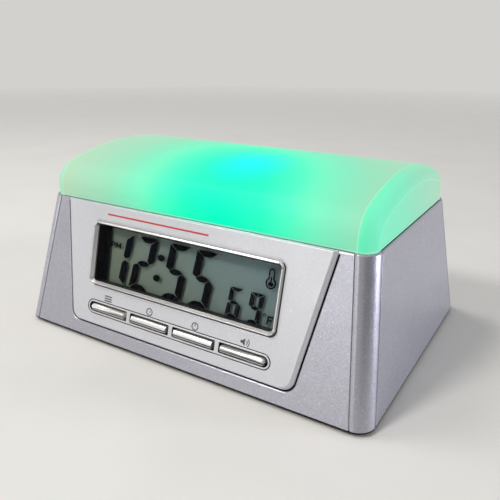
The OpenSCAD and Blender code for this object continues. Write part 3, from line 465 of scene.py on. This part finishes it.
def disc(u, v, across, tall, steps=24):
    """A round or oval outline."""
    turns = [2 * pi * i / steps for i in range(steps)]
    return [(u + across * cos(t), v + tall * sin(t)) for t in turns]


def ring(u, v, radius, line, start=0, end=360, steps=24):
    """A round line, or part of one, as short four-cornered outlines."""
    turns = [radians(start + (end - start) * i / steps) for i in range(steps + 1)]
    inner, outer = (
        [(u + r * cos(t), v + r * sin(t)) for t in turns] for r in (radius - line / 2, radius + line / 2))
    return [[inner[i], outer[i], outer[i + 1], inner[i + 1]] for i in range(steps)]


def bar(u0, v0, u1, v1, line):
    """A straight line of even width."""
    length = sqrt((u1 - u0) ** 2 + (v1 - v0) ** 2)
    du, dv = (v0 - v1) / length * line / 2, (u1 - u0) / length * line / 2
    return [(u0 + du, v0 + dv), (u0 - du, v0 - dv), (u1 - du, v1 - dv), (u1 + du, v1 + dv)]


# The bars that each numeral shows: a on top, b to f clockwise from there, g in the middle.
SEGMENTS = {"1": "bc", "2": "abged", "5": "afgcd", "6": "afgedc", "9": "abcdfg"}


def digit(shown, left, low, width, height, stroke, lean):
    """Seven-segment digit with fine gaps: top and bottom bars are flat outside, the middle one is a lens."""
    # Drawn in shares of the stroke: the upper left bar, a quarter of the middle bar and half of the top bar.
    # Their mirror images give the rest.
    gap, thick, mid = 0.1 * stroke, 0.66 * stroke, height / 2
    half = 0.56 * thick
    upper = [
        (0, height - gap), (stroke, height - thick - 1.6 * gap), (stroke, mid + half + gap),
        (0.62 * stroke, mid + gap), (0, mid + half)]
    lens = [(0.56 * stroke, mid), (0.95 * stroke, mid + 0.75 * half), (1.4 * stroke, mid + half)]
    flat = [(1.6 * gap, height), (0.62 * stroke, height - 0.62 * thick), (stroke + gap, height - thick)]

    def across(points):
        return [(width - x, y) for x, y in points]

    def below(points):
        return [(x, height - y) for x, y in points]

    top = flat + across(flat)[::-1]
    bars = {
        "a": top, "b": across(upper), "c": across(below(upper)),
        "d": below(top), "e": below(upper), "f": upper,
        "g": lens + across(lens)[::-1] + below(across(lens))[1:] + below(lens)[:0:-1],
    }
    return [[(left + x + (y - mid) * lean, low + y) for x, y in bars[name]] for name in SEGMENTS[shown]]


def thermometer(u, v):
    """A thermometer's outline with the middle of its bulb at u, v: bulb, tube and the filling."""
    bulb, tube, line = 1.4, 0.75, 0.46
    outlines = ring(u, v, bulb, line, 120, 420) + ring(u, v + 3.1, tube, line, 0, 180, 12)
    outlines += [bar(u + side, v + 1.1, u + side, v + 3.15, 0.44) for side in (-tube, tube)]
    return outlines + [disc(u, v - 0.3, 0.85, 0.6), bar(u, v, u, v + 1.7, 0.42)]


def dome_mesh():
    """The dome drawn finely: a crown arc and two shoulder arcs, swept along and rolled in at both ends."""
    half_w, half_d, centre_y, end_r, thick = 55.9, 33.3, 0.4, 4.3, 2.0
    low, lip, top, crown_r, shoulder_r = 42.5, 43.75, 58.5, 88.0, 7.9
    # The fillet lines' width and the lip's share of one, the rings' spacing, and steps of an arc and an end.
    line, lip_share, bay, arc_steps, roll_steps = 0.16, 0.5, 14, 14, 12
    crown_z, shoulder_y = top - crown_r, half_d - shoulder_r
    rise = sqrt((crown_r - shoulder_r) ** 2 - shoulder_y ** 2)
    turn = atan2(rise, shoulder_y)

    def arc(y, z, radius, start, end):
        turns = [start + (end - start) * i / arc_steps for i in range(arc_steps + 1)]
        return [(y + radius * cos(t), z + radius * sin(t)) for t in turns]

    def arch(inset):
        side = [(half_d - inset, z) for z in (low, lip, lip + 0.15)]
        side += arc(shoulder_y, crown_z + rise, shoulder_r - inset, 0, turn)
        side += arc(0, crown_z, crown_r - inset, turn, pi / 2)[1:]
        return side + [(-y, z) for y, z in side[-2::-1]]

    # Each ring: its place along the clock, its inset, its share of a fillet line and of the bright end.
    rings = [(half_w, end_r + line, 0, 0.8), (half_w, end_r, 0.4, 0.9)]
    for i in range(roll_steps):
        roll = radians(90 * (i + 0.35) / roll_steps)
        rings.append((half_w - end_r * (1 - cos(roll)), end_r * (1 - sin(roll)), 0, 1))
    rings += [(half_w - end_r, 0, 0.4, 0), (half_w - end_r - line, 0, 0, 0)]
    rings += [(half_w - end_r - bay * i, 0, 0, 0) for i in (1, 2, 3)] + [(0, 0, 0, 0)]
    rings += [(-x, *rest) for x, *rest in rings[-2::-1]]
    work = bmesh.new()
    mark, zone = (work.verts.layers.float.new(name) for name in ("fillet_line", "fillet_band"))
    rows = []
    for x, inset, painted_line, band in rings:
        rows.append([work.verts.new(Vector((x, centre_y + y, z)) * MM) for y, z in arch(inset)])
        for vert in rows[-1]:
            vert[mark] = max(painted_line, lip_share * (vert.co.z < (lip + 0.05) * MM))
            vert[zone] = band
    for a, b in zip(rows, rows[1:]):
        for i in range(len(a) - 1):
            work.faces.new((a[i], a[i + 1], b[i + 1], b[i]))
    work.faces.new(rows[0][::-1])
    work.faces.new(rows[-1])
    bmesh.ops.recalc_face_normals(work, faces=work.faces)
    for face in work.faces:
        face.smooth = True
    wall = {"thickness": thick * MM, "offset": -1.0, "use_even_offset": True}
    mesh = settle(meshed("dome", work), ("SOLIDIFY", wall))
    mesh.set_sharp_from_angle(angle=radians(30))
    return mesh


def screw_heads():
    """Cross-recessed heads of the base screws, one drawn with its shank and set at every screw."""
    # Where the screws are, and the head's lower rim and its cross as shares of half its width.
    screw_x, screw_y, rim_share, cross_share = 56.3, 25, 0.84, 1.2
    low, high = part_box("base_screws")
    sizes = {
        "Head width": 5.4 * MM, "Head height": 1.1 * MM, "Slot width": 0.8 * MM, "Slot drop": 0.6 * MM,
        "Shank width": 2.8 * MM, "Shank drop": 0.4 * MM, "Length": high.z - low.z}
    tree = bpy.data.node_groups.new("cross_head_screws", "GeometryNodeTree")
    tree.interface.new_socket("Places", in_out="INPUT", socket_type="NodeSocketGeometry")
    sockets = {}
    for name in sizes:
        sockets[name] = tree.interface.new_socket(name, in_out="INPUT", socket_type="NodeSocketFloat")
    tree.interface.new_socket("Screws", in_out="OUTPUT", socket_type="NodeSocketGeometry")
    given = add(tree, "NodeGroupInput").outputs
    half_head, half_shank, half_length = (
        add(tree, "ShaderNodeMath", {0: given[name], 1: 0.5}, operation="MULTIPLY").outputs[0]
        for name in ("Head width", "Shank width", "Length"))
    rim = add(tree, "ShaderNodeMath", {0: half_head, 1: rim_share}, operation="MULTIPLY").outputs[0]
    head = add(tree, "GeometryNodeMeshCone", {
        "Vertices": 40, "Radius Top": half_head, "Radius Bottom": rim, "Depth": given["Head height"]})
    reach = add(tree, "ShaderNodeMath", {0: half_head, 1: cross_share}, operation="MULTIPLY").outputs[0]
    drop = add(tree, "ShaderNodeMath", {0: given["Slot drop"], 1: -1.0}, operation="MULTIPLY").outputs[0]
    down = add(tree, "ShaderNodeCombineXYZ", {"Z": drop}).outputs[0]
    crossed = add(tree, "GeometryNodeJoinGeometry")
    for x, y in ((reach, given["Slot width"]), (given["Slot width"], reach)):
        size = add(tree, "ShaderNodeCombineXYZ", {"X": x, "Y": y, "Z": given["Head height"]}).outputs[0]
        cut = add(tree, "GeometryNodeMeshCube", {"Size": size}).outputs["Mesh"]
        moved = add(tree, "GeometryNodeTransform", {"Geometry": cut, "Translation": down}).outputs[0]
        tree.links.new(moved, crossed.inputs[0])
    cutting = add(tree, "GeometryNodeMeshBoolean", {
        "Mesh 1": head.outputs["Mesh"], "Mesh 2": crossed.outputs[0]}, operation="DIFFERENCE")
    shank = add(tree, "GeometryNodeMeshCylinder", {
        "Vertices": 24, "Radius": half_shank, "Depth": given["Length"]}).outputs["Mesh"]
    lift = add(tree, "ShaderNodeMath", {
        0: half_length, 1: given["Shank drop"]}, operation="SUBTRACT").outputs[0]
    upward = add(tree, "ShaderNodeCombineXYZ", {"Z": lift}).outputs[0]
    raised = add(tree, "GeometryNodeTransform", {"Geometry": shank, "Translation": upward}).outputs[0]
    whole = add(tree, "GeometryNodeJoinGeometry")
    tree.links.new(cutting.outputs["Mesh"], whole.inputs[0])
    tree.links.new(raised, whole.inputs[0])
    spread = add(tree, "GeometryNodeInstanceOnPoints", {
        "Points": given["Places"], "Instance": whole.outputs[0]}).outputs[0]
    real = add(tree, "GeometryNodeRealizeInstances", {"Geometry": spread}).outputs[0]
    done = add(tree, "GeometryNodeSetMaterial", {"Geometry": real, "Material": STEEL}).outputs[0]
    add(tree, "NodeGroupOutput", {0: done})
    places = bpy.data.meshes.new("screw_places")
    height = low.z + sizes["Head height"] / 2
    spots = [(x * MM, y * MM, height) for x in (-screw_x, screw_x) for y in (-screw_y, screw_y)]
    places.from_pydata(spots, [], [])
    carrier = placed("screw_places", places)
    modifier = carrier.modifiers.new("screws", "NODES")
    modifier.node_group = tree
    for name, value in sizes.items():
        modifier[sockets[name].identifier] = value
    ready = carrier.evaluated_get(bpy.context.evaluated_depsgraph_get())
    mesh = bpy.data.meshes.new_from_object(ready)
    bpy.data.objects.remove(carrier)
    piece("clock_base_screws", mesh, STEEL, "clock", "base_screws")


def show_display():
    """Reflector film, clear glass over it and dark marks just under the glass face, which shade the film."""
    # Depths below the glass face: the film, the underside of the glass over it, and both sides of the marks.
    film_at, under_at, marks_low, marks_high = 0.95, 0.93, 0.12, 0.06
    half_w, half_h = GLASS_W / 2 + GLASS_MARGIN, GLASS_H / 2 + GLASS_MARGIN
    low, high = GLASS_V - half_h, GLASS_V + half_h
    field = block(-half_w, low, half_w, high)
    film = plates("display_film", [field], GLASS_N - GLASS_T, GLASS_N - film_at, FILM)
    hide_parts("lcd_glass")
    plates("display_glass", [field], GLASS_N - under_at, GLASS_N, CLEAR)
    # The time: each digit with its left edge, width and lean, and the dots between them.
    time_low, time_tall, time_stroke = 19.1, 16.7, 2.5
    time_digits = (
        ("1", -29.5, 7.5, 0.15), ("2", -19.75, 7.6, 0.145), ("5", -7.2, 7.75, 0.12), ("5", 2.75, 7.6, 0.115))
    marks = []
    for shown, left, width, lean in time_digits:
        marks += digit(shown, left, time_low, width, time_tall, time_stroke, lean)
    marks += [disc(u, v, 1.4, 1.0) for u, v in ((-9.3, 30.6), (-10.2, 24.2))]
    # The temperature: two smaller digits.
    heat_low, heat_width, heat_tall, heat_stroke, heat_lean = 19.0, 4.35, 8.7, 1.45, 0.105
    for shown, left in (("6", 16.0), ("9", 22.8)):
        marks += digit(shown, left, heat_low, heat_width, heat_tall, heat_stroke, heat_lean)
    # The degree ring with the letter of its scale, a thermometer, and the half of the day as two letters.
    marks += ring(28.3, 22.3, 0.34, 0.24)
    scale_letter = (
        (29.3, 19.9, 29.6, 22.35, 0.55), (29.5, 22.1, 31.0, 22.1, 0.5), (29.4, 21.1, 30.6, 21.1, 0.46))
    half_of_day = (
        (-29.9, 30.3, -29.7, 32.1, 0.5), (-29.7, 31.95, -28.6, 31.95, 0.46),
        (-29.8, 31.15, -28.65, 31.15, 0.44), (-28.55, 32.1, -28.6, 31.0, 0.46),
        (-27.9, 30.3, -27.7, 32.1, 0.48), (-27.7, 32.0, -26.95, 30.8, 0.46),
        (-26.95, 30.8, -26.0, 32.0, 0.46), (-26.15, 30.3, -25.95, 32.1, 0.48))
    marks += [bar(*stroke) for stroke in scale_letter] + thermometer(28.72, 31.2)
    marks += [bar(*stroke) for stroke in half_of_day]
    # A black strip on the film's left edge only: painted shade that widens the dark band of the recess wall
    # there.
    shade_strip_u = -30.4
    marks.append(block(-half_w, low, shade_strip_u, high))
    plates("display_marks", marks, GLASS_N - marks_low, GLASS_N - marks_high, INK)


def print_panel():
    """Printing on the panel: a slim red line above the display and a plain sign over each key."""
    line_v, sign_v, ink = 40.9, 14.5, 0.02
    low, high = PANEL_N - ink, PANEL_N + ink
    plates("panel_red_line", [bar(-29.2, line_v, 9.2, line_v, 0.5)], low, high, RED)
    # A list, a clock face, a clock hand and a sound.
    signs = [bar(-26.9, sign_v + d, -23.9, sign_v + d, 0.4) for d in (-0.75, 0, 0.75)]
    for u, reach, rise in ((-8.4, 0.5, 0.2), (8.6, 0.0, 0.75)):
        signs += ring(u, sign_v, 1.05, 0.32) + [bar(u, sign_v, u + reach, sign_v + rise, 0.3)]
    back, throat, mouth = 24.0, 24.6, 25.4
    horn = [(throat, sign_v - 0.4), (mouth, sign_v - 1.1), (mouth, sign_v + 1.1), (throat, sign_v + 0.4)]
    signs += [block(back, sign_v - 0.4, throat, sign_v + 0.4), horn]
    for radius in (0.75, 1.35):
        signs += ring(mouth, sign_v, radius, 0.26, -50, 50, 8)
    plates("panel_signs", signs, low, high, GREY_INK)


def set_stage():
    """A pale table that fades into the pale background without a line. Its sizes are in metres."""
    radius, fade_start, fade_end = 1.4, 0.3, 1.2
    work = bmesh.new()
    bmesh.ops.create_circle(work, cap_ends=True, radius=radius, segments=96)
    mesh = meshed("floor", work)
    # Laminate: nearly even and matt, so that only the clock's shadow shows on it.
    table = moulded("pale_table_laminate", "#dcdad6", "#e1dfdb", 40.0, (0.5, 0.6), 0.0)
    tree = table.node_tree
    place = add(tree, "ShaderNodeTexCoord").outputs["Object"]
    reach = add(tree, "ShaderNodeVectorMath", {0: place}, operation="LENGTH").outputs["Value"]
    fade = add(tree, "ShaderNodeMapRange", {
        "Value": reach, "From Min": fade_start, "From Max": fade_end, "To Min": 1.0, "To Max": 0.0})
    tree.links.new(fade.outputs["Result"], tree.nodes["Principled BSDF"].inputs["Alpha"])
    mesh.materials.append(table)
    floor = placed("floor", mesh)


def hang_lamps():
    """Five soft lamps turned to the clock, each with its place and width in metres, its watts and its tint.

    The key lamp is high at the front left and the top lamp higher on the left, for the glints. A low one
    stands in front, a cool one far off past the corner post, and one far off on the left for the edge lines.
    """
    target = Vector((0, 0, 0.03))
    for name, spot, size, watts, tint in (
        ("key_lamp", (-0.27, -0.55, 0.68), 0.2, 3.65, "#fffcf8"),
        ("top_lamp", (-0.39, -0.03, 0.75), 0.26, 1.75, "#ffffff"),
        ("front_lamp", (-0.24, -0.86, 0.12), 0.5, 0.85, "#ffffff"),
        ("side_lamp", (2.16, 0.90, 0.32), 0.51, 34.0, "#eaedff"),
        ("left_lamp", (-2.4, -1.08, 0.30), 0.6, 3.6, "#ffffff"),
    ):
        lamp = bpy.data.lights.new(name, "AREA")
        lamp.shape, lamp.size, lamp.energy, lamp.color = "DISK", size, watts, linear(tint)[:3]
        holder = placed(name, lamp)
        holder.location = spot
        holder.rotation_euler = (target - Vector(spot)).to_track_quat("-Z", "Y").to_euler()


def light_room():
    """Even soft light and a plain pale background.

    Only mirrored rays find a dark brown corner of the room at the front right, behind the camera's shoulder,
    which gives the corner post its dark band.
    """
    pale, corner = "#d2d1ce", (0.93, -0.36, 0.05)
    world = bpy.data.worlds.new("pale_studio")
    bpy.context.scene.world = world
    world.use_nodes = True
    tree = world.node_tree
    path = add(tree, "ShaderNodeLightPath").outputs
    direct = add(tree, "ShaderNodeMath", {
        0: path["Is Camera Ray"], 1: path["Is Transmission Ray"]}, operation="MAXIMUM").outputs[0]
    aim = add(tree, "ShaderNodeTexCoord").outputs["Generated"]
    toward = add(tree, "ShaderNodeVectorMath", {0: aim, 1: corner}, operation="DOT_PRODUCT").outputs["Value"]
    walls = add(tree, "ShaderNodeValToRGB", {"Fac": toward}, stops=[(0.56, pale), (0.9, "#20140c")])
    light = add(tree, "ShaderNodeBackground", {"Color": linear("#e4e4e2"), "Strength": 0.53}).outputs[0]
    mirrored = add(tree, "ShaderNodeBackground", {"Color": walls.outputs["Color"]}).outputs[0]
    behind = add(tree, "ShaderNodeBackground", {"Color": linear(pale)}).outputs[0]
    lit = add(tree, "ShaderNodeMixShader", {0: path["Is Glossy Ray"], 1: light, 2: mirrored}).outputs[0]
    room = add(tree, "ShaderNodeMixShader", {0: direct, 1: lit, 2: behind}).outputs[0]
    tree.links.new(room, tree.nodes["World Output"].inputs["Surface"])


def place_camera():
    """The camera, where the photograph was taken from."""
    yaw, pitch, roll = radians(31.513), radians(20.261), radians(0.36)
    spot = Vector((95.10, -153.19, 90.28))
    ahead = Vector((-sin(yaw) * cos(pitch), cos(yaw) * cos(pitch), -sin(pitch)))
    right = Vector((cos(yaw), sin(yaw), 0))
    up = right.cross(ahead)
    across, upward = right * cos(roll) + up * sin(roll), up * cos(roll) - right * sin(roll)
    lens = bpy.data.cameras.new("camera")
    lens.lens, lens.sensor_width = 39.815, 36.0
    lens.clip_start, lens.clip_end = 0.005, 20.0
    camera = placed("camera", lens)
    camera.matrix_world = Matrix((across, upward, -ahead)).transposed().to_4x4()
    camera.location = spot * MM
    bpy.context.scene.camera = camera


for node, (finish, edge) in FINISHES.items():
    softened(node, finish, edge)
piece("clock_dome", dome_mesh(), DOME, "clock", "light_dome")
screw_heads()
show_display()
print_panel()
set_stage()
hang_lamps()
light_room()
place_camera()
bpy.context.scene.view_settings.view_transform = "Standard"
